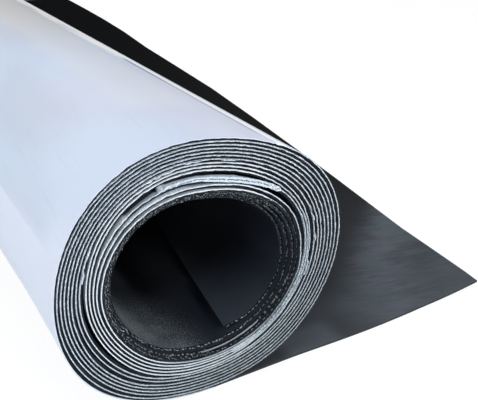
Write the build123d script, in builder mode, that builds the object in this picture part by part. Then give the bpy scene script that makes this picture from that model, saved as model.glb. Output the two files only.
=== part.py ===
from build123d import *
import math
import os

os.makedirs("parts", exist_ok=True)

# The roll lies along X, with its near end at +X. Y points to the side where the sheet runs out
# over the floor, and the origin is on the bore's axis, halfway along the sheet's width.

# The sheet, with a film a little wider than the membrane
sheet_width = 1000.0
membrane_thickness = 1.2
film_thickness = 0.2
film_overhang = 1.0

# The winding
bore_radius = 35.0
turn_slack = 0.21
spiral_turns = 14
inner_end_angle = -60.0
climb_angle = 75.0

# The innermost turns, pushed along the axis towards the far end
core_turns = 3.5
core_shift = 7.0

# How far the gap between the turns is cut into each end
gap_depth = 12.0

# The outer end of the sheet, flat on the floor, measured from under the roll's axis
reach_at_near_end = 180.0
reach_at_far_end = 286.0
cut_edge_bow = 14.0

pitch = membrane_thickness + film_thickness + turn_slack
climb_start_angle = inner_end_angle - climb_angle
innermost_turn_sweep = 360.0 - climb_angle

# Each half turn swings about one of two centres half a pitch apart, so the last half turn, cut off
# at the inner end's angle, has come in by the share that this angle gives.
last_half_turn_share = (1.0 - math.sin(math.radians(inner_end_angle))) / 2
adhesive_radius = bore_radius + membrane_thickness + pitch * (spiral_turns + last_half_turn_share)
roll_radius = adhesive_radius + film_thickness
core_radius = bore_radius + core_turns * pitch
floor_height = -roll_radius

left_centre = (0, 0)
right_centre = (0, pitch / 2)


def around(radius, angle):
    return (radius * math.cos(math.radians(angle)), radius * math.sin(math.radians(angle)))


def wind_inward(start_radius, turns):
    # Whole turns from the bottom, clockwise by the left side, the top and the right side
    for turn in range(turns):
        left_radius = start_radius - turn * pitch
        CenterArc(left_centre, left_radius, -90, -180)
        CenterArc(right_centre, left_radius - pitch / 2, 90, -180)


def wind_to_inner_end(start_radius, turns, end_radius):
    # The same winding, with its last turn cut off at the inner end's angle
    last_radius = start_radius - (turns - 1) * pitch
    wind_inward(start_radius, turns - 1)
    CenterArc(left_centre, last_radius, -90, -180)
    TangentArc((0, last_radius), around(end_radius, inner_end_angle), tangent=(1, 0))


def climb_over_inner_end(radius):
    # Leaves the innermost turn's circle smoothly and reaches the next turn out at the inner end
    foot = around(radius, climb_start_angle)
    along_the_circle = around(1, climb_start_angle + 90)
    TangentArc(foot, around(radius + pitch, inner_end_angle), tangent=along_the_circle)


def floor_outline(side_overhang):
    # Seen from above: along the roll, out along both sides and back along the bowed cut edge
    near_x = sheet_width / 2 + side_overhang
    middle_reach = (reach_at_near_end + reach_at_far_end) / 2 + cut_edge_bow
    Polyline((near_x, reach_at_near_end), (near_x, 0), (-near_x, 0), (-near_x, reach_at_far_end))
    ThreePointArc((-near_x, reach_at_far_end), (0, middle_reach), (near_x, reach_at_near_end))


# The black membrane
with BuildPart() as membrane:
    # The wound coil, turned about the bore, with its innermost turns drawn back in a shallow cone
    near_end = sheet_width / 2
    far_end = -sheet_width / 2
    coil_radius = adhesive_radius - pitch
    with BuildSketch(Plane.XZ) as coil_section:
        with BuildLine():
            Polyline(
                (near_end - core_shift, bore_radius),
                (near_end, core_radius),
                (near_end, coil_radius),
                (far_end, coil_radius),
                (far_end, core_radius),
                (far_end - core_shift, bore_radius),
                close=True,
            )
        make_face()
    revolve(axis=Axis.X)

    # The outermost turn, which comes in by one pitch on its way round
    with BuildSketch(Plane.YZ.offset(far_end)) as outer_turn_section:
        with BuildLine():
            wind_inward(adhesive_radius, 1)
            Line((0, pitch - adhesive_radius), (0, -adhesive_radius))
        make_face()
        Circle(coil_radius - membrane_thickness, mode=Mode.SUBTRACT)
    extrude(amount=sheet_width)

    # The outer end of the sheet, flat on the floor
    with BuildSketch(Plane.XY.offset(floor_height + film_thickness)) as floor_sheet:
        with BuildLine():
            floor_outline(0)
        make_face()
    extrude(amount=membrane_thickness)

    # The step along the bore where the sheet begins
    with BuildSketch(Plane.YZ.offset(far_end - core_shift)) as bore_step:
        with BuildLine():
            climb_over_inner_end(bore_radius)
            CenterArc(left_centre, bore_radius, climb_start_angle, climb_angle)
            Line(around(bore_radius, inner_end_angle), around(bore_radius + pitch, inner_end_angle))
        make_face()
    extrude(amount=sheet_width + core_shift, mode=Mode.SUBTRACT)

    # The gap between the turns, from under the outermost one to the sheet's inner end
    gap_reach = gap_depth + core_shift
    innermost_outside = bore_radius + membrane_thickness
    for gap_start in (near_end - gap_reach, far_end - core_shift):
        with BuildSketch(Plane.YZ.offset(gap_start)) as gap_section:
            with BuildLine():
                wind_to_inner_end(adhesive_radius - membrane_thickness, spiral_turns, bore_radius + pitch)
                wind_to_inner_end(adhesive_radius - pitch, spiral_turns - 1, innermost_outside + pitch)
                climb_over_inner_end(innermost_outside)
                CenterArc(left_centre, innermost_outside, climb_start_angle, -innermost_turn_sweep)
                Line(around(innermost_outside, inner_end_angle), around(bore_radius + pitch, inner_end_angle))
                Line((0, membrane_thickness - adhesive_radius), (0, pitch - adhesive_radius))
            make_face()
        extrude(amount=gap_reach, mode=Mode.SUBTRACT)

membrane.part.label = "membrane"
export_step(membrane.part, "parts/membrane.step")


# The release film on the sheet's adhesive face
with BuildPart() as release_film:
    # The outermost turn
    film_width = sheet_width + 2 * film_overhang
    with BuildSketch(Plane.YZ.offset(-film_width / 2)) as film_turn_section:
        with BuildLine():
            wind_inward(roll_radius, 1)
            wind_inward(adhesive_radius, 1)
            Line((0, -roll_radius), (0, -adhesive_radius))
            Line((0, pitch - roll_radius), (0, pitch - adhesive_radius))
        make_face()
    extrude(amount=film_width)

    # Under the outer end of the sheet
    with BuildSketch(Plane.XY.offset(floor_height)) as floor_film:
        with BuildLine():
            floor_outline(film_overhang)
        make_face()
    extrude(amount=film_thickness)

release_film.part.label = "release_film"
export_step(release_film.part, "parts/release_film.step")
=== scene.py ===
import bpy
import math
import numpy as np
from mathutils import Matrix, Vector


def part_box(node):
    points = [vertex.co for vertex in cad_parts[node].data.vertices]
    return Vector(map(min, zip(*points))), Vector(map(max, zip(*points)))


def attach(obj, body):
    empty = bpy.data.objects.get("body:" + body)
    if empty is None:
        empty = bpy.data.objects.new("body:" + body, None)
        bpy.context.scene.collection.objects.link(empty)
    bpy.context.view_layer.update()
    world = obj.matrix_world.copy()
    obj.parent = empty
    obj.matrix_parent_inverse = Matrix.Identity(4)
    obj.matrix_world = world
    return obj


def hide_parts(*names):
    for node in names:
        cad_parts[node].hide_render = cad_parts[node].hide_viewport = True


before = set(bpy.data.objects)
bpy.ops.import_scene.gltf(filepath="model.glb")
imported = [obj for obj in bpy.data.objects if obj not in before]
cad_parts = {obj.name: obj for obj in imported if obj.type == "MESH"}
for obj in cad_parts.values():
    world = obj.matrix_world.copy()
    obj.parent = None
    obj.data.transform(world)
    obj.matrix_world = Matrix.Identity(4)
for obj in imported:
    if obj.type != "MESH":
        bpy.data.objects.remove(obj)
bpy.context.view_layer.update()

# the roll's axis is X, its near end faces +X, and the floor is the lowest face of the film
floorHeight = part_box("release_film")[0].z
rollRadius = -floorHeight
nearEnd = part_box("membrane")[1].x
farEnd = -nearEnd
millimetre = 0.001

# turns are counted inwards from where the loose length leaves the floor, and degrees from the floor:
# 90 is the left of the near end, 180 its top and 270 its right
sheet = {
    "rubberThick": 1.05 * millimetre,
    "filmThick": 0.13 * millimetre,
    "leastPitch": 1.17 * millimetre,  # no turn comes closer to the next than this
    "turns": 15.96,
    "sharpFrom": 50,  # degrees between two faces that show as an edge
    "seed": 7,
}

# shares of the roll's radius, as waves of one, two, three and four to the turn: (cosine, sine)
crossSection = {
    "mean": 1.0,
    "waves": [(0, 0), (-0.0563, -0.0195), (0.0083, 0.0100), (-0.0108, -0.0090)],
}
outerTurn = {"mean": 1.0116, "waves": [(-0.0163, 0.0070), (0.0011, 0.0029)]}
stepPerTurn = {"mean": 0.02576, "waves": [(0.00178, -0.00458), (0.00034, -0.00011)]}

# where the winding hangs loose under a turn: middle and half width in degrees, and the gap
looseSpots = [
    {"under": 9, "at": 169, "spread": 78, "gap": 2.78 * millimetre},
    {"under": 10, "at": 160, "spread": 70, "gap": 0.97 * millimetre},
    {"under": 7, "at": 63, "spread": 77, "gap": 1.55 * millimetre},
    {"under": 10, "at": 237, "spread": 47, "gap": 1.31 * millimetre},
    {"under": 9, "at": 301, "spread": 107, "gap": -1.20 * millimetre},
    {"under": -1, "at": 300, "spread": 130, "gap": -0.51 * millimetre},
    {"under": -1, "at": 236, "spread": 48, "gap": 1.00 * millimetre},
    {"under": 0, "at": 241, "spread": 51, "gap": 0.40 * millimetre},
    {"under": -1, "at": 185, "spread": 45, "gap": -0.21 * millimetre},
    {"under": 7, "at": 10, "spread": 102, "gap": -0.83 * millimetre},
    {"under": 0, "at": 60, "spread": 30, "gap": 0.48 * millimetre},
    {"under": 1, "at": 54, "spread": 43, "gap": 0.52 * millimetre},
    {"under": 6, "at": 65, "spread": 30, "gap": 0.30 * millimetre},
    {"under": 11, "at": 154, "spread": 118, "gap": 0.65 * millimetre},
    {"under": 10, "at": 328, "spread": 64, "gap": -0.70 * millimetre},
    {"under": 5, "at": 56, "spread": 57, "gap": 0.60 * millimetre},
    {"under": 5, "at": 265, "spread": 90, "gap": -0.18 * millimetre},
    {"under": 6, "at": 265, "spread": 90, "gap": 0.18 * millimetre},
    {"under": 7, "at": 265, "spread": 100, "gap": 0.36 * millimetre},
    {"under": 10, "at": 275, "spread": 70, "gap": -0.60 * millimetre},
    {"under": 9, "at": 225, "spread": 30, "gap": -0.60 * millimetre},
    {"under": 10, "at": 225, "spread": 30, "gap": 0.60 * millimetre},
    {"under": 8, "at": 290, "spread": 75, "gap": -0.70 * millimetre},
    {"under": 10, "at": 268, "spread": 32, "gap": 0.55 * millimetre},
    {"under": 11, "at": 310, "spread": 45, "gap": 0.60 * millimetre},
    {"under": 12, "at": 340, "spread": 55, "gap": 0.45 * millimetre},
    {"under": 13, "at": 340, "spread": 55, "gap": -0.45 * millimetre},
]

# the core is wound askew, so that each of its turns lies deeper than the last
core = {
    "from": 12.96, "firstStep": 0.43 * millimetre, "step": 1.80 * millimetre,
    "tighter": 0.0025, "waves": [(-0.0018, 0.0)],
    "endLift": 2.2 * millimetre, "endLiftOver": 0.10,  # the inner end springs in over its last part turn
    "endSkew": 0.76, "endSkewOver": 0.9,  # turns that it falls back by for each metre into the bore
    "endSquare": 200 * millimetre,  # past here it is cut square
}

# a shallow hollow in the side of the wall, a little way in from its edge
sideHollow = {"deep": 0.9 * millimetre, "at": 86, "spread": 34, "across": 0.452, "reach": 0.052}


def waves(shape, angle):
    value = np.full_like(angle, shape.get("mean", 0.0))
    for order, (cosine, sine) in enumerate(shape["waves"], start=1):
        value += cosine * np.cos(order * angle) + sine * np.sin(order * angle)
    return value


def bump(distance):
    near = np.clip(np.abs(distance), 0, 1)
    return (1 - near * near) ** 2


def smooth(value, low, high):
    share = np.clip((value - low) / (high - low), 0, 1)
    return share * share * (3 - 2 * share)


def ripple(along, length, seed):
    # an uneven wave between -1 and 1, about one swing in each length
    generator = np.random.default_rng(sheet["seed"] * 1000 + seed)
    place = (along - along.min()) / length
    knots = generator.uniform(-1, 1, int(place.max()) + 3)
    low = np.floor(place).astype(int)
    share = place - low
    share = share * share * (3 - 2 * share)
    return knots[low] * (1 - share) + knots[low + 1] * share


def windingRadius(turns):
    # radius of the film's outer face at each place along the winding, before the turns are kept apart
    angle = np.radians(turns % 1 * 360)
    share = waves(outerTurn, angle) - waves(stepPerTurn, angle) * turns
    for spot in looseSpots:
        passage = np.round(turns - spot["at"] / 360)
        away = (360 * (turns - passage) - spot["at"]) / spot["spread"]
        share -= spot["gap"] / rollRadius * bump(away) * (passage > spot["under"])
    inCore = np.clip(turns - core["from"], 0, None)
    share -= inCore * (waves(core, angle) - core["tighter"])
    springs = smooth(turns, sheet["turns"] - core["endLiftOver"], sheet["turns"]) ** 2
    share -= core["endLift"] / rollRadius * springs
    return share * waves(crossSection, angle) * rollRadius


class Winding:
    # the coil's places at an even angle step: radius, angle, depth at the ends and length along the sheet
    def __init__(self, perTurn):
        self.perTurn = perTurn
        count = int(round(sheet["turns"] * perTurn)) + 1
        self.turns = np.arange(count) / perTurn
        self.angle = -math.pi / 2 - 2 * math.pi * self.turns
        self.radius = windingRadius(self.turns)
        for place in range(perTurn, count):
            limit = self.radius[place - perTurn] - sheet["leastPitch"]
            self.radius[place] = min(self.radius[place], limit)
        # the way in to the next turn, or a metre where there is none, and the slack outside each place
        self.pitch = np.full(count, 1.0)
        self.pitch[:-perTurn] = self.radius[:-perTurn] - self.radius[perTurn:]
        self.gap = np.zeros(count)
        slack = self.pitch[:-perTurn] - sheet["filmThick"] - sheet["rubberThick"]
        self.gap[perTurn:] = np.clip(slack, 0, None)
        deep = np.clip(self.turns - core["from"], 0, None)
        self.depth = core["firstStep"] * np.clip(deep, 0, 1) + core["step"] * np.clip(deep - 1, 0, None)
        self.middle = floorHeight - (self.radius * np.sin(self.angle)).min()
        steps = np.hypot(np.diff(self.radius), self.radius[1:] * 2 * math.pi / perTurn)
        self.along = np.concatenate([[0], np.cumsum(steps)])

    def at(self, inset):
        # Y and Z of the places, that far inside the film's outer face
        radius = self.radius - inset
        return radius * np.cos(self.angle), self.middle + radius * np.sin(self.angle)


def skewEnd(turns, x, *rows):
    # the same places with the inner end drawn back as it goes deeper, so that it is cut out of square
    depth = np.clip(nearEnd - x, 0, core["endSquare"])
    skewed = smooth(turns, sheet["turns"] - core["endSkewOver"], sheet["turns"])[:, None]
    back = core["endSkew"] * depth * skewed
    return [np.interp(turns[:, None] - back, turns, row) for row in rows]


def sideDents(turns, x):
    around = (turns[:, None] * 360 - sideHollow["at"]) / sideHollow["spread"]
    return -sideHollow["deep"] * bump(around) * bump((x - sideHollow["across"]) / sideHollow["reach"])


def triples(first, second, third):
    return np.stack([first, second, third], -1)


def outwards(distance, angle):
    # X, Y and Z of a step away from the roll's axis
    return triples(distance * 0, distance * np.cos(angle), distance * np.sin(angle))


def layOf(along, across):
    # what the finishes read: the place along the sheet and across it, and which face, 1 for the outer one
    return triples(along, across, np.ones_like(across))


def gridFaces(places):
    # the corners of the faces between neighbouring rows and columns
    corners = [places[:-1, :-1], places[1:, :-1], places[1:, 1:], places[:-1, 1:]]
    return np.stack(corners, -1).reshape(-1, 4)


def edgeFaces(first, second):
    # the corners of the faces between two lines of points
    return np.stack([first[:-1], second[:-1], second[1:], first[1:]], -1)


def placed(name, data):
    # a new object in the scene
    made = bpy.data.objects.new(name, data)
    bpy.context.scene.collection.objects.link(made)
    return made


def meshPiece(name, shells):
    # one object from closed shells, each with its outer and inner face as rows of points by columns
    points, faces, lays = [], [], []
    start = 0
    for outer, inner, lay in shells:
        rows, columns = outer.shape[:2]
        over = start + np.arange(rows * columns).reshape(rows, columns)
        under = over + rows * columns
        points += [outer.reshape(-1, 3), inner.reshape(-1, 3)]
        lays += [lay.reshape(-1, 3), lay.reshape(-1, 3) * (1, 1, -1)]
        start += 2 * rows * columns
        faces += [gridFaces(over), gridFaces(under)[:, ::-1]]
        faces += [edgeFaces(over[:, 0], under[:, 0]), edgeFaces(under[:, -1], over[:, -1])]
        faces += [edgeFaces(under[0], over[0]), edgeFaces(over[-1], under[-1])]
    points, faces, lays = np.concatenate(points), np.concatenate(faces), np.concatenate(lays)
    mesh = bpy.data.meshes.new(name)
    mesh.vertices.add(len(points))
    mesh.vertices.foreach_set("co", points.ravel())
    mesh.loops.add(faces.size)
    mesh.loops.foreach_set("vertex_index", faces.ravel())
    mesh.polygons.add(len(faces))
    mesh.polygons.foreach_set("loop_start", np.arange(0, faces.size, 4))
    mesh.polygons.foreach_set("use_smooth", np.ones(len(faces), bool))
    layOut = mesh.attributes.new("lay", "FLOAT_VECTOR", "POINT")
    layOut.data.foreach_set("vector", lays.ravel())
    mesh.update(calc_edges=True)
    mesh.validate()
    mesh.set_sharp_from_angle(angle=math.radians(sheet["sharpFrom"]))
    piece = placed(name, mesh)
    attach(piece, "root")
    return piece


tail = {
    # how far the loose length reaches over the floor at the near end, in the middle and at the far end
    "reachNear": 172 * millimetre, "reachMiddle": 247 * millimetre, "reachFar": 284 * millimetre,
    "bay": 5 * millimetre, "bayAt": -0.08, "bayReach": 0.17,  # its cut edge dips in there
    "curlFrom": 0.65,  # past this share of its reach it curls up, most at the near corner
    "cornerFrom": 0.42, "cornerLift": 3.5 * millimetre, "curlElsewhere": 0.05,
    # how far it lies off the floor in places, in waves of so many radians along it and to the metre across
    "swell": 0.5 * millimetre, "swellAlong": 9, "swellStarts": 3.2, "swellFull": 0.3, "swellAcross": 7,
    "rows": 56,  # rows of points along it
}


def tailReach(x):
    # how far the loose length runs out over the floor, as a bowed edge out of square
    share = (nearEnd - x) / (nearEnd - farEnd)
    near, middle, far = tail["reachNear"], tail["reachMiddle"], tail["reachFar"]
    bowed = near + (4 * middle - 3 * near - far) * share + 2 * (near + far - 2 * middle) * share * share
    return bowed - tail["bay"] * bump((x - tail["bayAt"]) / tail["bayReach"])


def tailRows(x, lift):
    # Y, Z and the length along, from the cut edge back to the roll's lowest line
    run = np.linspace(1, 0, tail["rows"] + 1)[:-1, None]
    y = run * tailReach(x)[None, :]
    nearCorner = smooth(x, tail["cornerFrom"], nearEnd)[None, :]
    curled = np.clip((run - tail["curlFrom"]) / (1 - tail["curlFrom"]), 0, 1) ** 2
    curled = curled * (tail["curlElsewhere"] + (1 - tail["curlElsewhere"]) * nearCorner)
    swell = np.sin(tail["swellAlong"] * run + tail["swellStarts"]) * smooth(run, 0, tail["swellFull"])
    swell = swell * (0.5 + 0.5 * np.sin(tail["swellAcross"] * x))[None, :]
    z = floorHeight + lift + tail["cornerLift"] * curled + np.clip(tail["swell"] * swell, 0, None)
    return y, z, -y


rubber = {
    "perTurn": 144,  # rows of points to the turn
    # columns of points across the sheet, as shares of its half width
    "columns": [1, 0.997, 0.98, 0.92, 0.86, 0.8, 0.7, 0.6, 0.4, 0.2, 0,
                -0.2, -0.4, -0.6, -0.8, -0.92, -0.98, -0.997, -1],
    "cutWave": 0.12 * millimetre, "cutWaveLong": 2.2 * millimetre,  # how uneven its cut ends are
    "clearance": 0.01 * millimetre,  # what is left between it and the film of the next turn
    # at the near end the loose length stands out a little, and most in a bulge that far from the roll
    "edgeOut": 0.5 * millimetre, "bulge": 1.1 * millimetre, "bulgeAt": 0.088, "bulgeReach": 0.045,
}


def rubberSheet():
    winding = Winding(rubber["perTurn"])
    columns = np.array(rubber["columns"])
    x = columns[None, :] * nearEnd - winding.depth[:, None]
    cutWave = rubber["cutWave"] * ripple(winding.along, rubber["cutWaveLong"], 1)
    x[:, 0] += cutWave
    x[:, -1] += cutWave[::-1]
    room = winding.pitch - sheet["filmThick"] - rubber["clearance"]
    thick = np.minimum(sheet["rubberThick"], room)
    places = winding.at(sheet["filmThick"]) + winding.at(sheet["filmThick"] + thick) + (winding.along,)
    outerY, outerZ, innerY, innerZ, along = skewEnd(winding.turns, x, *places)
    wound = triples(x, outerY, outerZ) + outwards(sideDents(winding.turns, x), winding.angle[:, None])
    lowY, lowZ, lowAlong = tailRows(columns * nearEnd, sheet["filmThick"])
    lowX = np.repeat((columns * nearEnd)[None, :], len(lowY), 0)
    bulge = bump((lowY[:, 0] - rubber["bulgeAt"]) / rubber["bulgeReach"])
    lowX[:, 0] += rubber["edgeOut"] + rubber["bulge"] * bulge
    outer = np.concatenate([triples(lowX, lowY, lowZ), wound])
    inner = np.concatenate([triples(lowX, lowY, lowZ + sheet["rubberThick"]), triples(x, innerY, innerZ)])
    lay = np.concatenate([layOf(lowAlong, lowX), layOf(along, x)])
    piece = meshPiece("rubber_sheet", [(outer, inner, lay)])
    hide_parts("membrane")
    return piece


film = {
    "perTurn": 300,  # rows of points to the turn
    "wallEnds": 270,  # the row where the roll's wall ends and the next turn covers it
    "boreFrom": 15,  # the turn from which it shows in the bore
    "endsShort": 5,  # rows by which it ends short of the rubber
    # columns of points across the roll's wall, the wound part and the part that shows in the bore
    "wall": [1, 0.999, 0.985, 0.96, 0.92, 0.88, 0.82, 0.76, 0.68, 0.6, 0.5, 0.4, 0.25, 0.1,
             -0.1, -0.3, -0.5, -0.7, -0.85, -0.95, -0.999, -1],
    "wound": [1, 0.9995, 0.997, 0.991, 0.95, -0.97, -0.9995, -1],
    "bore": [1, 0.9995, 0.98, 0.92, 0.86, 0.8, 0.7, 0.6, 0, -0.97, -0.9995, -1],
    "lip": 0.6 * millimetre,  # how far it stands out past the rubber
    "lipWaves": [(0.30, 2.0 * millimetre), (0.25, 1.3 * millimetre)],  # how uneven: share and length
    "lipThick": 0.29 * millimetre,  # what its frayed edge adds to its thickness
    "frays": (0.38, 1.3 * millimetre),  # how uneven that is: share and length
    "leans": (0.09 * millimetre, 1.4 * millimetre),  # how far the edge leans in and out: size and length
    "outside": 0.4, "outsideWall": 0.1,  # share of the frayed edge that lies outside the film
    "unevenLong": 2.6 * millimetre,  # length of the swings in the fold and the puckers
    "pressed": 0.25, "pressedAt": 320,  # share that the lip loses there, where the roll presses it
    # the lip is worn off from this turn inwards, but for one stretch of a turn, and ends behind the rubber
    "wornFrom": 12.55, "wornBy": 12.75, "kept": (13, 321, 366), "behind": 1.2 * millimetre,
    # how far it stands out at the cut edge on the floor, and past the rubber's near and far end there
    "tailOut": 0.35 * millimetre, "tailNear": 0.3 * millimetre, "tailFar": 0.4 * millimetre,
    "tailMeets": 0.03,  # this near the roll it takes over the wall's ragged edge
}

# how ragged the film's edge is round the turn: the least, and what each stretch adds with its middle and
# half width in degrees, so that it is smooth at the left and chopped at the top and the right
raggedEdge = {"least": 0.2, "adds": [(0.8, 145, 60), (0.9, 232, 85), (0.3, 330, 60)]}

# longer or missing lip of the film: the turn, from and to in degrees, and what it adds in millimetres
filmTears = [
    (5, 64, 84, 0.9), (5, 34, 64, 0.3), (7, 103, 107, 1.4), (7, 109, 110, 0.5), (7, 112, 115, 0.5),
    (6, 164, 166, 0.9), (6, 168, 170, 0.9), (6, 181, 187, 1.3), (7, 148, 149, 0.9), (7, 151, 153, 0.9),
    (7, 155, 158, 0.8), (8, 203, 205, 0.9), (7, 245, 247, 0.8), (7, 250, 253, 1.0), (7, 262, 265, 1.0),
    (8, 277, 285, 1.2), (10, 133, 150, -0.35), (10, 150, 222, 0.2), (9, 245, 345, 0.5), (10, 245, 345, 0.5),
]

filmPuckers = [
    # where the film stands off the rubber: the share of the gap that it fills at its edge and behind it
    {"turn": 10, "from": 96, "to": 132, "fade": 0.7, "uneven": 0.05, "fill": (0.05, 0.15, 0.40, 0.34, 0.1)},
    {"turn": 10, "from": 150, "to": 152, "fade": 0.7, "uneven": 0.05, "fill": (0.1, 0.35, 0.8, 0.4, 0.0)},
    {"turn": 10, "from": 152, "to": 222, "fade": 0.6, "uneven": 0.14, "fill": (0.0, 0.10, 0.36, 0.2, 0.0)},
    {"turn": 11, "from": 95, "to": 160, "fade": 5, "uneven": 0.05, "fill": (0.05, 0.25, 0.62, 0.56, 0.2)},
]

edgeFold = {
    # there the film's edge is folded: how far it reaches in over the rubber's edge and out into the gap
    "turn": 10, "from": 153, "to": 221, "fade": 1.5, "uneven": 0.1,
    "covers": 0.85 * millimetre, "standsOff": 0.75 * millimetre,
    # it starts as this share of what it covers, and that much further out, and grows between two angles
    "startShare": 0.33, "startsOff": 0.75 * millimetre, "growsFrom": 159, "full": 184,
}


def stretch(turns, turn, start, end, fade=0.7):
    # one between two places of a turn and nought elsewhere, and how far it fades beyond them, in degrees
    low, high = turn + start / 360, turn + end / 360
    return smooth(turns, low - fade / 360, low) * (1 - smooth(turns, high, high + fade / 360))


def raggedness(turns):
    value = raggedEdge["least"]
    for adds, at, spread in raggedEdge["adds"]:
        value = value + adds * bump((turns % 1 * 360 - at) / spread)
    return value


lipThickness = {
    # the share that it gains at the top and loses elsewhere, with the middle and half width in degrees
    "top": (0.25, 202, 48), "left": (0.22, 140, 60), "lowerRight": (0.26, 325, 85),
    "losesUpTo": (6.0, 7.5),  # further in than these turns it loses nothing
}


def fraying(turns):
    # how thick the film's frayed lip is round the turn, as a share of its mean
    angle = turns % 1 * 360
    gains, top, topSpread = lipThickness["top"]
    losesLeft, left, leftSpread = lipThickness["left"]
    losesRight, right, rightSpread = lipThickness["lowerRight"]
    lowerRight = bump(((angle - right + 180) % 360 - 180) / rightSpread)
    loses = losesRight * lowerRight + losesLeft * bump((angle - left) / leftSpread)
    loses = (1 - smooth(turns, *lipThickness["losesUpTo"])) * loses
    return 1 + gains * bump((angle - top) / topSpread) - loses


def filmLip(winding, seed):
    # how far the film stands out past the rubber at each place of one end
    ragged = raggedness(winding.turns)
    pressed = film["pressed"] * (0.5 + 0.5 * np.cos(np.radians(winding.turns * 360 - film["pressedAt"])))
    share = 1 - pressed
    for step, (uneven, length) in enumerate(film["lipWaves"]):
        share = share + uneven * ragged * ripple(winding.along, length, seed + step)
    lip = film["lip"] * share
    for turn, start, end, adds in filmTears:
        lip += adds * millimetre * stretch(winding.turns, turn, start, end)
    sheenBlotches = smooth(winding.turns, film["wornFrom"], film["wornBy"])
    sheenBlotches = sheenBlotches * (1 - stretch(winding.turns, *film["kept"]))
    return lip * (1 - sheenBlotches) - film["behind"] * sheenBlotches


def filmShell(winding, first, last, columns, wound):
    # the rows of the film from first to last, with its frayed edge, its fold and its puckers
    rows = slice(first, last)
    turns, length = winding.turns[rows], winding.along[rows]
    x = np.repeat(np.array(columns)[None, :] * nearEnd, last - first, 0)
    x[:, 0] += filmLip(winding, 20)[rows]
    x[:, -1] -= filmLip(winding, 30)[rows]
    x -= winding.depth[rows, None]
    ragged = raggedness(turns)
    folded = stretch(turns, edgeFold["turn"], edgeFold["from"], edgeFold["to"], edgeFold["fade"])
    grown = smooth((turns - edgeFold["turn"]) * 360, edgeFold["growsFrom"], edgeFold["full"])
    covers = edgeFold["covers"] * folded * (edgeFold["startShare"] + (1 - edgeFold["startShare"]) * grown)
    off = edgeFold["standsOff"] * folded
    lift, extra = sideDents(turns, x), np.zeros_like(x)
    leans, leanLong = film["leans"]
    frays, frayLong = film["frays"]
    for end, seed in ((0, 41), (-1, 45)):
        lean = leans * ragged * ripple(length, leanLong, seed)
        frayed = 1 + frays * ragged * ripple(length, frayLong, seed + 1)
        frayed = frayed * film["lipThick"] * fraying(turns)
        uneven = edgeFold["uneven"] * ripple(length, film["unevenLong"], seed + 2)
        thicker = frayed + covers * (1 + uneven)
        if wound:
            lift[:, end] = film["outside"] * (thicker - covers) + lean + off
        else:
            lift[:, end] = film["outsideWall"] * thicker
        lift[:, end] += edgeFold["startsOff"] * folded * (1 - grown)
        extra[:, end] = thicker + off
    for pucker in filmPuckers if wound else []:
        share = stretch(turns, pucker["turn"], pucker["from"], pucker["to"], pucker["fade"])
        share = share * (1 + pucker["uneven"] * ripple(length, film["unevenLong"], pucker["from"]))
        lift[:, :len(pucker["fill"])] += np.outer(share * winding.gap[rows], pucker["fill"])
    angle = winding.angle[rows, None]
    places = [values[rows] for values in winding.at(0) + (winding.along,)]
    outerY, outerZ, along = skewEnd(turns, x, *places)
    outer = triples(x, outerY, outerZ) + outwards(lift, angle)
    inner = outer - outwards(sheet["filmThick"] + extra, angle)
    return outer, inner, layOf(along, x)


def releaseFilm():
    winding = Winding(film["perTurn"])
    wallEnds, boreFrom = film["wallEnds"], film["boreFrom"] * winding.perTurn
    wall = filmShell(winding, 0, wallEnds + 1, film["wall"], False)
    wound = filmShell(winding, wallEnds, boreFrom + 1, film["wound"], True)
    inBore = filmShell(winding, boreFrom, len(winding.turns) - film["endsShort"], film["bore"], False)
    edgeX = np.array(film["wall"]) * nearEnd
    edgeX[0] += film["tailNear"]
    edgeX[-1] -= film["tailFar"]
    lowY, lowZ, lowAlong = tailRows(edgeX, 0)
    lowY[0] += film["tailOut"]
    blend = smooth(lowY[:, :1], 0, film["tailMeets"])
    lowX = np.repeat(edgeX[None, :], len(lowY), 0) * blend + wall[0][:1, :, 0] * (1 - blend)
    outer = np.concatenate([triples(lowX, lowY, lowZ), wall[0]])
    inner = np.concatenate([triples(lowX, lowY, lowZ + sheet["filmThick"]), wall[1]])
    lay = np.concatenate([layOf(lowAlong, lowX), wall[2]])
    piece = meshPiece("release_film_sheet", [(outer, inner, lay), wound, inBore])
    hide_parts("release_film")
    return piece


yarnRows = [
    # the turns that they lie in, and in millimetres: how deep under the film, the scatter of that,
    # one to every so much, and (length, width, height) of each
    {"turns": (12.60, 13.00), "deep": 0.2, "scatter": 0.15, "every": 2.3, "size": (1.1, 0.3, 0.4)},
    {"turns": (13.00, 13.45), "deep": 0.5, "scatter": 0.42, "every": 0.80, "size": (0.5, 0.3, 0.4)},
    {"turns": (13.20, 13.64), "deep": 0.6, "scatter": 0.40, "every": 0.60, "size": (0.5, 0.3, 0.5)},
    {"turns": (13.64, 13.80), "deep": 0.4, "scatter": 0.16, "every": 1.9, "size": (1.0, 0.4, 0.5)},
    {"turns": (13.80, 13.89), "deep": 0.4, "scatter": 0.14, "every": 2.2, "size": (1.3, 0.7, 0.7)},
    {"turns": (14.01, 14.22), "deep": 0.3, "scatter": 0.20, "every": 1.6, "size": (1.0, 0.45, 0.6)},
    {"turns": (14.22, 14.62), "deep": 0.5, "scatter": 0.30, "every": 0.80, "size": (0.5, 0.3, 0.5)},
    {"turns": (14.62, 14.84), "deep": 0.4, "scatter": 0.20, "every": 1.9, "size": (1.1, 0.4, 0.5)},
    {"turns": (14.84, 15.20), "deep": 0.4, "scatter": 0.20, "every": 1.6, "size": (1.3, 0.45, 0.5)},
    {"turns": (15.20, 15.60), "deep": 0.5, "scatter": 0.25, "every": 1.0, "size": (0.5, 0.3, 0.5)},
    {"turns": (15.60, 15.95), "deep": 0.4, "scatter": 0.16, "every": 1.9, "size": (1.1, 0.45, 0.4)},
]


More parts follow.
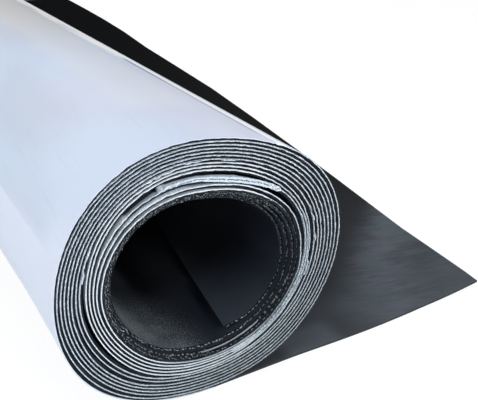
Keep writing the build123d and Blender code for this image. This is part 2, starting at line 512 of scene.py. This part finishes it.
yarn = {
    # how much each differs from its row's size and spacing, and how far it twists, in radians
    "lengths": (0.4, 1.5), "widths": (0.7, 1.2), "heights": (0.5, 1.3), "spacings": (0.6, 1.4),
    "twist": 0.25,
    "sunk": 0.05 * millimetre,  # how deep it is set into the rubber
    "perTurn": 720,  # places to the turn where one may stand
}


def yarnEnds():
    # the cut ends of the yarns that stiffen the rubber, as short pale stubs on the ends of the core's turns
    winding = Winding(yarn["perTurn"])
    generator = np.random.default_rng(sheet["seed"])
    corners = np.array([(-1, -1, 0), (1, -1, 0), (1, 1, 0), (-1, 1, 0),
                        (-0.6, -0.5, 1), (0.6, -0.5, 1), (0.6, 0.5, 1), (-0.6, 0.5, 1)], float)
    sides = np.array([(4, 5, 6, 7), (0, 1, 5, 4), (1, 2, 6, 5), (2, 3, 7, 6), (3, 0, 4, 7), (3, 2, 1, 0)])
    points, faces = [], []
    for row in yarnRows:
        place, last = row["turns"]
        length, width, height = row["size"]
        while place < last:
            step = int(round(place * winding.perTurn))
            deep = (row["deep"] + generator.normal(0, row["scatter"])) * millimetre
            long = length * generator.uniform(*yarn["lengths"]) / 2 * millimetre
            wide = width * generator.uniform(*yarn["widths"]) / 2 * millimetre
            stands = height * generator.uniform(*yarn["heights"]) * millimetre
            radius, angle = winding.radius[step] - deep, winding.angle[step]
            twist = angle + generator.normal(0, yarn["twist"])
            outward = np.array((0, math.cos(twist), math.sin(twist)))
            forward = np.array((0, -math.sin(twist), math.cos(twist)))
            middle = np.array((0, radius * math.cos(angle), winding.middle + radius * math.sin(angle)))
            for side in (1, -1):
                middle[0] = side * nearEnd - winding.depth[step]
                out = np.array((side, 0, 0))
                faces.append(8 * len(points) + (sides if side > 0 else sides[:, ::-1]))
                stub = corners[:, :1] * long * forward + corners[:, 1:2] * wide * outward
                points.append(middle + stub + corners[:, 2:] * stands * out - yarn["sunk"] * out)
            around = 2 * math.pi * radius
            place += row["every"] * millimetre * generator.uniform(*yarn["spacings"]) / around
    mesh = bpy.data.meshes.new("yarn_ends")
    mesh.from_pydata(np.concatenate(points).tolist(), [], np.concatenate(faces).tolist())
    piece = placed("yarn_ends", mesh)
    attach(piece, "root")
    return piece


class Expr:
    # a socket that takes part in plain arithmetic, and adds the Math nodes that say the same
    def __init__(self, net, socket):
        self.net, self.socket = net, socket

    def maths(self, operation, *values):
        return self.net.node("ShaderNodeMath", {"operation": operation}, dict(enumerate(values)))

    def __add__(self, other):
        return self.maths("ADD", self, other)

    def __radd__(self, other):
        return self.maths("ADD", other, self)

    def __sub__(self, other):
        return self.maths("SUBTRACT", self, other)

    def __rsub__(self, other):
        return self.maths("SUBTRACT", other, self)

    def __mul__(self, other):
        return self.maths("MULTIPLY", self, other)

    def __rmul__(self, other):
        return self.maths("MULTIPLY", other, self)

    def absolute(self):
        return self.maths("ABSOLUTE", self)

    def sine(self):
        return self.maths("SINE", self)

    def between(self, low, high):
        # nought at the first value and one at the second, which may be the lower
        return self.net.node("ShaderNodeMapRange", {"interpolation_type": "SMOOTHSTEP"},
                             {"Value": self, "From Min": low, "From Max": high})

    def band(self, low, high, fade):
        # one between two values, fading out over that much beyond them
        return self.between(low - fade, low) * self.between(high + fade, high)


class Net:
    # the nodes of one material, or of the tree that is given
    def __init__(self, name="", tree=None):
        if tree is None:
            self.material = bpy.data.materials.new(name)
            self.material.use_nodes = True
            tree = self.material.node_tree
        self.tree = tree
        self.tree.nodes.clear()

    def node(self, kind, settings=None, inputs=None, output=0):
        made = self.tree.nodes.new(kind)
        for key, value in (settings or {}).items():
            setattr(made, key, value)
        for key, value in (inputs or {}).items():
            if isinstance(value, Expr):
                self.tree.links.new(value.socket, made.inputs[key])
            else:
                made.inputs[key].default_value = value
        return Expr(self, made.outputs[output]) if len(made.outputs) else None

    def split(self, vector):
        parts = self.node("ShaderNodeSeparateXYZ", inputs={"Vector": vector})
        return [Expr(self, part) for part in parts.socket.node.outputs]

    def lay(self):
        # along the sheet, across it, and which face
        return self.split(self.node("ShaderNodeAttribute", {"attribute_name": "lay"}, output="Vector"))

    def spot(self):
        # the place in metres, with Y to the right in the photograph and Z upwards
        return self.node("ShaderNodeTexCoord", output="Object")

    def vector(self, x, y, z):
        return self.node("ShaderNodeCombineXYZ", inputs={"X": x, "Y": y, "Z": z})

    def noise(self, place, scale, detail=2.0, rough=0.5):
        return self.node("ShaderNodeTexNoise", inputs={
            "Vector": place, "Scale": scale, "Detail": detail, "Roughness": rough})

    def mix(self, share, first, second, kind="RGBA"):
        # the numbers of the sockets for colours, or else for plain values
        one, other, result = (6, 7, 2) if kind == "RGBA" else (2, 3, 0)
        return self.node("ShaderNodeMix", {"data_type": kind}, {0: share, one: first, other: second}, result)

    def bump(self, height, strength, distance):
        return self.node("ShaderNodeBump", inputs={
            "Height": height, "Strength": strength, "Distance": distance})

    def surface(self, **inputs):
        shader = self.node("ShaderNodeBsdfPrincipled", inputs={
            key.replace("_", " "): value for key, value in inputs.items()})
        return self.finish(shader)

    def finish(self, shader):
        self.node("ShaderNodeOutputMaterial", inputs={"Surface": shader})
        return self.material


def rgb(red, green, blue):
    # the colour as it looks on a screen, 0 to 255, as the light that it stands for
    def light(value):
        value /= 255
        return value / 12.92 if value <= 0.04045 else ((value + 0.055) / 1.055) ** 2.4
    return (light(red), light(green), light(blue), 1.0)


rubberColours = {
    # the loose length: a painted shadow of the roll, the open rubber, and painted light near the near end
    "paintedRollShadow": rgb(4, 5, 7), "open": rgb(38, 40, 44), "paintedLightNear": rgb(56, 60, 64),
    # a painted sheen on the loose length, darker in blotches, and a painted glow on a strip by the roll
    "paintedSheen": rgb(84, 89, 99), "paintedSheenDark": rgb(74, 84, 90), "paintedGlowNearStrip": rgb(112, 118, 126),
    # the cloth in the bore, with painted light on its threads at the mouth and on the hollows deep in
    "thread": rgb(56, 62, 72), "threadPaintedLightAtMouth": rgb(84, 94, 112),
    "underThreadPaintedLightDeep": rgb(68, 72, 78), "underThreadAtMouth": rgb(22, 25, 31),
    # dust with painted light at the mouth, dust specks, and painted light beside the sheet's end
    "dustAndPaintedLight": rgb(136, 147, 153), "speck": rgb(180, 187, 189), "paintedLightBesideEnd": rgb(84, 92, 104),
    "boreShade": rgb(10, 11, 14),
    "looseCut": rgb(54, 59, 63), "woundCut": rgb(22, 26, 30), "woundCutPale": rgb(40, 46, 52),
    # painted shade on the cut ends low in the core
    "paintedShadeLowCore": rgb(6, 8, 10),
}

# places on a face are in metres along the sheet, or across it from its middle to its near end; two numbers
# say where a change begins and ends, and three say from, to and how far it fades out beyond them
rubberMarks = {
    # the loose length: where its painted shadow from the roll gives way to open light, and where its painted
    # sheen lies, out to its near corner
    "open": (0.30, 0.44), "paintedLightNear": (0.455, 0.485), "cornerAcross": 0.480, "cornerPull": 1.25,
    "paintedSheen": (0.660, 0.711), "paintedSheenAcross": (0.345, 0.405), "paintedSheenFades": (0.710, 0.756),
    "foot": (0.445, 0.472), "footBack": 6 * millimetre,
    "paintedGlowNearStrip": (-0.068, -0.047, 0.013), "paintedGlowNearStripAcross": (0.478, 0.490),
    # the bore: its mouth, the sheet's end in it and the turn that lies beside that, with their painted light
    # and painted shade
    "wound": (0.0, 0.03), "mouth": (0.448, 0.488), "deep": (0.47, 0.42), "dustAndPaintedLight": (4.664, 4.680, 0.024),
    "left": (4.660, 4.730, 0.030), "leftAcross": (0.380, 0.410), "right": (4.775, 4.812, 0.022),
    "behindEnd": (4.600, 4.654, 0.010), "behindEndAcross": (0.472, 0.444),
    "lowest": (4.640, 4.654, 0.009), "lowestAcross": (0.462, 0.478),
    "paintedLightLastPart": (4.830, 4.852), "paintedLightLastPartAcross": (0.450, 0.468),
    "paintedLightBesideEnd": (4.6240, 4.6315, 0.004), "paintedLightBesideEndAcross": (0.456, 0.476, 0.012),
    "core": (3.95, 4.05), "coreLowRight": (0.012, 0.032),
}
clothPitch = 1.1 * millimetre


def rubberFinish():
    net = Net("black rubber")
    tones, marks = rubberColours, rubberMarks
    along, across, face = net.lay()
    place = net.vector(along, across, face * 0.01)
    cloud = net.noise(place, 16, 4, 0.55)
    # the loose length lies with its inner face up: a painted shadow black beside the roll, and a painted
    # grey sheen out to the near corner
    drift = across + along * 0.2
    streak = net.noise(net.vector(along * 62, drift * 520, 0), 1.0, 3, 0.65)
    wide = net.noise(net.vector(along * 34, drift * 90, 2), 1.0, 2, 0.5)
    patch = net.noise(net.vector(along * 42, across * 55, 4), 1.0, 3, 0.5)
    # blotches and streaks of the painted sheen
    sheenBlotches = (streak * 0.36 + wide * 0.26 + patch * 0.38).between(0.33, 0.65)
    outward = across.maths("MINIMUM", across, marks["cornerAcross"]) * marks["cornerPull"] - along
    foot = outward - across.between(*marks["foot"]) * marks["footBack"]
    paintedSheen = (0.46 + sheenBlotches * 0.54) * foot.between(*marks["paintedSheen"]) * across.between(*marks["paintedSheenAcross"])
    paintedSheen = paintedSheen * (1 - outward.between(*marks["paintedSheenFades"]) * 0.36)
    grey = net.mix(patch.between(0.40, 0.60), tones["paintedSheen"], tones["paintedSheenDark"])
    # a painted glow on a strip by the roll at the near end
    paintedGlowNearStrip = across.between(*marks["paintedGlowNearStripAcross"]) * along.band(*marks["paintedGlowNearStrip"])
    grey = net.mix(paintedGlowNearStrip * 0.6, grey, tones["paintedGlowNearStrip"])
    # a painted shadow of the roll, black over the far part, then painted light near the near end
    black = net.mix(across.between(*marks["open"]), tones["paintedRollShadow"], tones["open"])
    black = net.mix(across.between(*marks["paintedLightNear"]), black, tones["paintedLightNear"])
    top = net.mix((paintedSheen + paintedGlowNearStrip * 0.42).between(0, 1), black, grey)
    # the bore shows the cloth in the rubber: painted light on its threads at the mouth, a pale patch of dust
    # and painted light there, and painted light on the hollows between the threads deeper in
    wound = along.between(*marks["wound"])
    bore = face.between(0, -0.99) * wound
    turn = 2 * math.pi / clothPitch
    weave = (along * turn).sine() * (across * turn).sine() * 0.5 + 0.5
    mouth = across.between(*marks["mouth"])
    dustAndLightPatch = along.band(*marks["dustAndPaintedLight"]) * mouth * cloud.between(0.26, 0.54)
    thread = net.mix(dustAndLightPatch, net.mix(mouth, tones["thread"], tones["threadPaintedLightAtMouth"]), tones["dustAndPaintedLight"])
    under = net.mix(across.between(*marks["deep"]), tones["underThreadAtMouth"], tones["underThreadPaintedLightDeep"])
    woven = net.mix(weave * (0.35 + dustAndLightPatch * 0.65), under, thread)
    behindEnd = along.band(*marks["behindEnd"]) * across.between(*marks["behindEndAcross"])
    rightSide = along.band(*marks["right"]) * mouth
    leftSide = along.band(*marks["left"]) * across.between(*marks["leftAcross"]) * (1 - dustAndLightPatch)
    lowest = along.band(*marks["lowest"]) * across.between(*marks["lowestAcross"])
    shade = behindEnd * 0.45 + rightSide * 0.45 + leftSide * 0.54 + lowest * 0.20
    woven = net.mix(shade.between(0, 1), woven, tones["boreShade"])
    # painted light on the sheet's last part and on the strip beside its end, against the shade of the step
    paintedLightLastPart = along.between(*marks["paintedLightLastPart"]) * across.between(*marks["paintedLightLastPartAcross"])
    paintedLightBesideEnd = along.band(*marks["paintedLightBesideEnd"]) * across.band(*marks["paintedLightBesideEndAcross"])
    woven = net.mix(paintedLightLastPart * 0.24 + paintedLightBesideEnd * 0.34, woven, tones["paintedLightBesideEnd"])
    speck = net.noise(place, 1500, 2).between(0.52, 0.62)
    woven = net.mix(dustAndLightPatch * speck * 0.5, woven, tones["speck"])
    # the cut ends are dark, and painted shade makes them darkest low down and to the right in the core
    cutEdge = 1 - face.absolute().between(0.9, 0.999)
    toRight, height = net.split(net.spot())[1:]
    woundCut = net.mix(streak.between(0.35, 0.65), tones["woundCut"], tones["woundCutPale"])
    lowRight = (toRight * 0.60 - height * 0.80).between(*marks["coreLowRight"])
    paintedShadeLowCore = lowRight * along.between(*marks["core"])
    woundCut = net.mix(paintedShadeLowCore * 0.75, woundCut, tones["paintedShadeLowCore"])
    cut = net.mix(wound, tones["looseCut"], woundCut)
    colour = net.mix(cutEdge, net.mix(bore, top, woven), cut)
    normal = net.bump(weave * bore * 0.8 + streak * (1 - bore) * 0.5 + cloud, 0.5, 0.0002)
    dull = net.mix(bore, net.mix(paintedSheen, 0.62, 0.46, "FLOAT"), 0.60, "FLOAT")
    rough = net.mix(cutEdge, dull, 0.85, "FLOAT")
    return net.surface(Base_Color=colour, Roughness=rough, Normal=normal, Specular_IOR_Level=0.08)


filmColours = {
    "blue": rgb(203, 216, 236), "paleBlue": rgb(213, 229, 250), "mauve": rgb(213, 212, 227),
    "far": rgb(203, 198, 192), "rubs": rgb(184, 194, 210), "shaded": rgb(188, 196, 208),
    "crown": rgb(232, 236, 240), "crownFar": rgb(232, 228, 220), "lowSide": rgb(196, 200, 213),
    # painted shade above the crease and painted light just below it, and painted shade in the small folds
    "paintedShadeAboveCrease": rgb(178, 192, 212), "paintedLightBelowCrease": rgb(214, 220, 236), "paintedFoldShade": rgb(170, 174, 190),
    # a thin dark line on the ridge, a painted highlight on its rim, and painted shade inside the winding
    "ridge": rgb(104, 114, 138), "paintedRimHighlight": rgb(253, 254, 255), "paintedShadeInside": rgb(26, 30, 34),
    "lip": rgb(200, 216, 230), "lipClean": rgb(228, 240, 249), "lipLow": rgb(188, 206, 210),
    "lipAtLeft": rgb(196, 219, 244), "lipCleanAtLeft": rgb(224, 241, 255), "fold": rgb(200, 219, 236),
    # the froth on the lip, and a darker lip tone, which also serves as painted shade low on the right
    "frothDark": rgb(112, 125, 138), "frothLight": rgb(250, 253, 255), "dimmedLip": rgb(66, 74, 80),
    "grit": rgb(44, 50, 56),
}

filmMarks = {
    # the roll's wall, whose crease is measured from its line
    "far": (0.11, 0.20), "farAcross": (0.40, 0.20), "lowSide": (0.130, 0.104),
    "shaded": (0.141, 0.154, 0.016), "shadedAcross": (0.385, 0.425, 0.05),
    "crown": (0.182, 0.200, 0.012), "crownAcross": (0.470, 0.450), "crownNear": (0.30, 0.38),
    "creaseAt": 0.1155, "crease": (-0.0006, 0.0006), "paintedShadeAboveCrease": (0, 0.026),
    "creaseEnds": (0.494, 0.474), "creaseStarts": (-0.10, 0.30),
    "paintedLightBelowCrease": (-0.010, -0.0004, 0.006), "belowCreaseAcross": (0.42, 0.46),
    "paintedFoldShade": (0.168, 0.174, 0.008), "foldsAcross": (0.300, 0.320, 0.024),
    "ridge": (0.2160, 0.2178, 0.0012), "ridgeAcross": (0.366, 0.484, 0.012), "ridgeFaint": (0.395, 0.425),
    # the painted highlight on the rim
    "paintedRimHighlight": (0.2196, 0.2232, 0.0008), "paintedRimHighlightFar": (0.2160, 0.2210, 0.0085), "paintedRimHighlightFarAcross": (0.375, 0.345),
    # the winding and its frayed lip, with places on the end to the right and upwards from the axis
    "wound": (0.38, 0.42), "paintedShadeInside": (0.4988, 0.4974), "lipFrom": (0.224, 0.236), "lip": (0.4992, 0.4999),
    "slot": (3.430, 3.472, 0.004), "edgeFold": (3.470, 3.524, 0.004), "grit": (0.4990, 0.5030, 0.0003),
    "clean": (2.35, 2.75), "cleanToRight": (0.030, 0.016),
    "toLeft": (0.010, -0.030), "low": (-0.028, -0.050),
    "fadedOuter": (3.850, 3.915, 0.012), "fadedInner": (4.372, 4.415, 0.006),
    # painted shade on the outer lips low on the right
    "paintedShadeLowRight": (2.15, 1.90), "paintedShadeLowRightAt": (0.020, 0.050), "gritRises": (3.482, 3.494),
}


def wallColour(net, along, across, cloud, rubs):
    # the outer face of the roll: pale blue and mauve clouds, warmer far away, shaded down its side
    tones, marks = filmColours, filmMarks
    tint = net.noise(net.vector(along + 3, across * 0.6, 0), 9, 2, 0.5)
    colour = net.mix(cloud.between(0.3, 0.7), tones["blue"], tones["paleBlue"])
    colour = net.mix(tint.between(0.45, 0.7) * 0.55, colour, tones["mauve"])
    far = across.between(*marks["farAcross"]) * along.between(*marks["far"])
    colour = net.mix(far * 0.6, colour, tones["far"])
    colour = net.mix(rubs.between(0.55, 0.75) * 0.22, colour, tones["rubs"])
    shaded = along.band(*marks["shaded"]) * across.band(*marks["shadedAcross"])
    colour = net.mix(shaded * 0.45, colour, tones["shaded"])
    crown = along.band(*marks["crown"]) * across.between(*marks["crownAcross"])
    crownColour = net.mix(across.between(*marks["crownNear"]), tones["crownFar"], tones["crown"])
    colour = net.mix(crown * 0.30, colour, crownColour)
    colour = net.mix(along.between(*marks["lowSide"]) * 0.34, colour, tones["lowSide"])
    # a crease runs down the side of the wall in colour only, with painted shade above it and painted light
    # just below it
    wander = (net.noise(net.vector(across * 30, 0, 0), 1.0) - 0.5) * 0.004
    crease = along + wander - marks["creaseAt"]
    above = crease.between(*marks["crease"]) * (1 - crease.between(*marks["paintedShadeAboveCrease"]))
    creased = across.between(*marks["creaseEnds"]) * across.between(*marks["creaseStarts"])
    colour = net.mix(above * creased * 0.55, colour, tones["paintedShadeAboveCrease"])
    below = crease.band(*marks["paintedLightBelowCrease"]) * across.between(*marks["belowCreaseAcross"])
    colour = net.mix(below * 0.4, colour, tones["paintedLightBelowCrease"])
    # small folds at the top drawn as stripes of painted shade, a thin dark line along the ridge and a
    # painted highlight as a pale rim over it
    paintedFoldShade = (across * 1150 - along * 1000 + cloud * 9).sine() * 0.5 + 0.5
    folded = along.band(*marks["paintedFoldShade"]) * across.band(*marks["foldsAcross"])
    colour = net.mix(paintedFoldShade * folded * 0.22, colour, tones["paintedFoldShade"])
    ridge = along + wander * 0.3
    line = ridge.band(*marks["ridge"]) * across.band(*marks["ridgeAcross"])
    line = line * (1 - across.between(*marks["ridgeFaint"]) * 0.50)
    colour = net.mix(line * 0.75, colour, tones["ridge"])
    uneven = net.noise(net.vector(across * 22, along * 90, 0), 1.0).between(0.25, 0.6)
    paintedRimHighlightFar = ridge.band(*marks["paintedRimHighlightFar"]) * across.between(*marks["paintedRimHighlightFarAcross"]) * (0.3 + uneven * 0.7)
    paintedRimHighlight = (ridge.band(*marks["paintedRimHighlight"]) + paintedRimHighlightFar).between(0, 1)
    return net.mix(paintedRimHighlight, colour, tones["paintedRimHighlight"])


def filmFinish():
    net = Net("release film")
    tones, marks = filmColours, filmMarks
    along, across, face = net.lay()
    toRight, height = net.split(net.spot())[1:]
    cloud = net.noise(net.vector(along, across * 0.5, face * 0.01), 14, 3, 0.5)
    rubs = net.noise(net.vector(along * 520 + across * 60, across * 26, 1), 1.0, 3, 0.6)
    colour = wallColour(net, along, across, cloud, rubs)
    # inside the winding the film is painted dark as shade, and only its frayed lip shows
    side = across.absolute()
    slot, fold = along.band(*marks["slot"]), along.band(*marks["edgeFold"])
    paintedShadeInside = along.between(*marks["wound"]) * (side - slot * 0.0006).between(*marks["paintedShadeInside"])
    colour = net.mix(paintedShadeInside * 0.93, colour, tones["paintedShadeInside"])
    edge = (side + fold * 0.0008).between(*marks["lip"]) * along.between(*marks["lipFrom"])
    clean = along.between(*marks["clean"]) * toRight.between(*marks["cleanToRight"])
    lip = net.mix(clean, tones["lip"], tones["lipClean"])
    atLeft = net.mix(clean, tones["lipAtLeft"], tones["lipCleanAtLeft"])
    lip = net.mix(toRight.between(*marks["toLeft"]) * 0.6, lip, atLeft)
    lip = net.mix(height.between(*marks["low"]) * (1 - clean) * 0.5, lip, tones["lipLow"])
    lip = net.mix(fold * 0.7, lip, tones["fold"])
    colour = net.mix(edge, colour, lip)
    # the lip is a froth of light and dark, calm on the fold
    froth = net.noise(net.vector(along, across * 0.4, face * 0.0015), 1200, 3, 0.65)
    calm = 1 - fold * 0.65
    dark = edge * froth.between(0.58, 0.42) * calm
    colour = net.mix(dark * (0.75 - clean * 0.40), colour, tones["frothDark"])
    colour = net.mix(edge * froth.between(0.50, 0.64) * calm * 0.85, colour, tones["frothLight"])
    # some turns' lips are darker, and painted shade darkens the outer turns' lips low on the right
    faded = along.band(*marks["fadedOuter"]) * 0.45 + along.band(*marks["fadedInner"]) * 0.60
    lowRight = (toRight * 0.57 - height * 0.82).between(*marks["paintedShadeLowRightAt"])
    paintedShadeLowRight = along.between(*marks["paintedShadeLowRight"]) * lowRight
    colour = net.mix(edge * (faded + paintedShadeLowRight * 0.16), colour, tones["dimmedLip"])
    # grit sits in the fold, along its lower edge at first and then along its middle
    grit = net.noise(net.vector(along * 1100, side * 1500, face * 1.4), 1.0, 2, 0.6)
    offLine = (face + 0.72 - along.between(*marks["gritRises"]) * 0.76).absolute()
    dotted = offLine.between(0.34, 0.16) * grit.between(0.40, 0.48) + grit.between(0.57, 0.62) * 0.5
    gritty = (fold * side.band(*marks["grit"]) * dotted).between(0, 1)
    colour = net.mix(gritty * 0.85, colour, tones["grit"])
    normal = net.bump(cloud + rubs * 0.10, 0.3, 0.001)
    return net.surface(Base_Color=colour, Roughness=0.36, Normal=normal, Specular_IOR_Level=0.35)


yarnColours = {"dark": rgb(50, 55, 60), "pale": rgb(164, 173, 178), "paleAtRight": rgb(112, 119, 124)}


def yarnFinish():
    net = Net("yarn ends")
    spot = net.spot()
    toRight = net.split(spot)[1]
    pale = net.mix(toRight.between(0.012, 0.036), yarnColours["pale"], yarnColours["paleAtRight"])
    colour = net.mix(net.noise(spot, 900, 2).between(0.3, 0.7), yarnColours["dark"], pale)
    return net.surface(Base_Color=colour, Roughness=0.8)


studio = {
    "floorReach": 9.0, "floorBelow": 0.2 * millimetre,
    "floorColour": (0.93, 0.93, 0.93, 1), "white": (1, 1, 1, 1), "whiteGlow": 1.03,
    "seenGlow": 0.85, "mirroredGlow": 0.3,  # how much of the floor glows to the camera and in reflections
    "worldColour": (0.97, 0.985, 1, 1), "brightFrom": (0.45, -0.45, 0.77), "dimmest": 0.03, "brighter": 0.40,
    "aimedAt": (0.3, 0, 0),
}

softLights = [
    # where each stands, its width in metres and its power in watts
    {"name": "key", "stands": (0.7, -1.9, 1.7), "width": 1.6, "power": 30.0},
    {"name": "front", "stands": (2.2, 0.7, 1.2), "width": 1.0, "power": 30.0},
    {"name": "top", "stands": (0.2, -0.2, 2.4), "width": 1.6, "power": 16.0},
    {"name": "sheen", "stands": (-0.9, 1.5, 1.0), "width": 0.9, "power": 4.0},
]


def floorFinish():
    net = Net("pale floor")
    diffuse = net.node("ShaderNodeBsdfDiffuse", inputs={"Color": studio["floorColour"]})
    glow = net.node("ShaderNodeEmission", inputs={"Color": studio["white"], "Strength": studio["whiteGlow"]})
    seen = net.node("ShaderNodeLightPath", output="Is Camera Ray")
    mirrored = net.node("ShaderNodeLightPath", output="Is Glossy Ray")
    glows = seen * studio["seenGlow"] + mirrored * studio["mirroredGlow"]
    return net.finish(net.node("ShaderNodeMixShader", inputs={0: glows, 1: diffuse, 2: glow}))


def studioWorld():
    # bright from the front left and above, dim from behind, and plain white to the camera
    world = bpy.data.worlds.new("studio")
    world.use_nodes = True
    net = Net(tree=world.node_tree)
    direction = net.node("ShaderNodeTexCoord", output="Generated")
    towards = net.node("ShaderNodeVectorMath", {"operation": "DOT_PRODUCT"},
                       {0: direction, 1: studio["brightFrom"]}, output="Value")
    strength = studio["dimmest"] + towards.between(-0.2, 1.0) * studio["brighter"]
    lit = net.node("ShaderNodeBackground", inputs={"Color": studio["worldColour"], "Strength": strength})
    white = net.node("ShaderNodeBackground", inputs={
        "Color": studio["white"], "Strength": studio["whiteGlow"]})
    seen = net.node("ShaderNodeLightPath", output="Is Camera Ray")
    both = net.node("ShaderNodeMixShader", inputs={0: seen, 1: lit, 2: white})
    net.node("ShaderNodeOutputWorld", inputs={"Surface": both})
    bpy.context.scene.world = world


def stageAndLight():
    reach, height = studio["floorReach"], floorHeight - studio["floorBelow"]
    mesh = bpy.data.meshes.new("floor")
    mesh.from_pydata([(-reach, -reach, height), (reach, -reach, height), (reach, reach, height),
                      (-reach, reach, height)], [], [(0, 1, 2, 3)])
    floor = placed("floor", mesh)
    floor.data.materials.append(floorFinish())
    studioWorld()
    for soft in softLights:
        light = bpy.data.lights.new(soft["name"], "AREA")
        light.size = soft["width"]
        light.energy = soft["power"]
        lamp = placed(soft["name"], light)
        lamp.location = soft["stands"]
        lamp.rotation_mode = "QUATERNION"
        aim = Vector(studio["aimedAt"]) - Vector(soft["stands"])
        lamp.rotation_quaternion = aim.to_track_quat("-Z", "Y")


photo = {
    # the photograph's width and focal length in pixels, and the camera's place and directions
    "width": 478, "focal": 655.3,
    "sensor": 36,  # in millimetres, as the lens is
    "clips": (0.01, 60),
    "stands": (0.6855, -0.1153, 0.1317),
    "right": (0.5352, 0.8424, 0.0576), "forward": (-0.7506, 0.5058, -0.4252),
}


def photoCamera():
    forward = Vector(photo["forward"]).normalized()
    right = Vector(photo["right"])
    right = (right - forward * right.dot(forward)).normalized()
    up = right.cross(forward)
    data = bpy.data.cameras.new("photo_camera")
    data.sensor_width = photo["sensor"]
    data.lens = photo["sensor"] * photo["focal"] / photo["width"]
    data.clip_start, data.clip_end = photo["clips"]
    camera = placed("photo_camera", data)
    turn = Matrix((right, up, -forward)).transposed().to_4x4()
    camera.matrix_world = Matrix.Translation(photo["stands"]) @ turn
    bpy.context.scene.camera = camera


print("camera and light")
photoCamera()
stageAndLight()
bpy.context.scene.view_settings.view_transform = "Standard"

print("rubber")
rubberPiece = rubberSheet()
rubberPiece.data.materials.append(rubberFinish())

print("film")
filmPiece = releaseFilm()
filmPiece.data.materials.append(filmFinish())

print("yarn ends")
yarnPiece = yarnEnds()
yarnPiece.data.materials.append(yarnFinish())

for piece in (rubberPiece, filmPiece, yarnPiece):
    print(piece.name, "faces", len(piece.data.polygons))
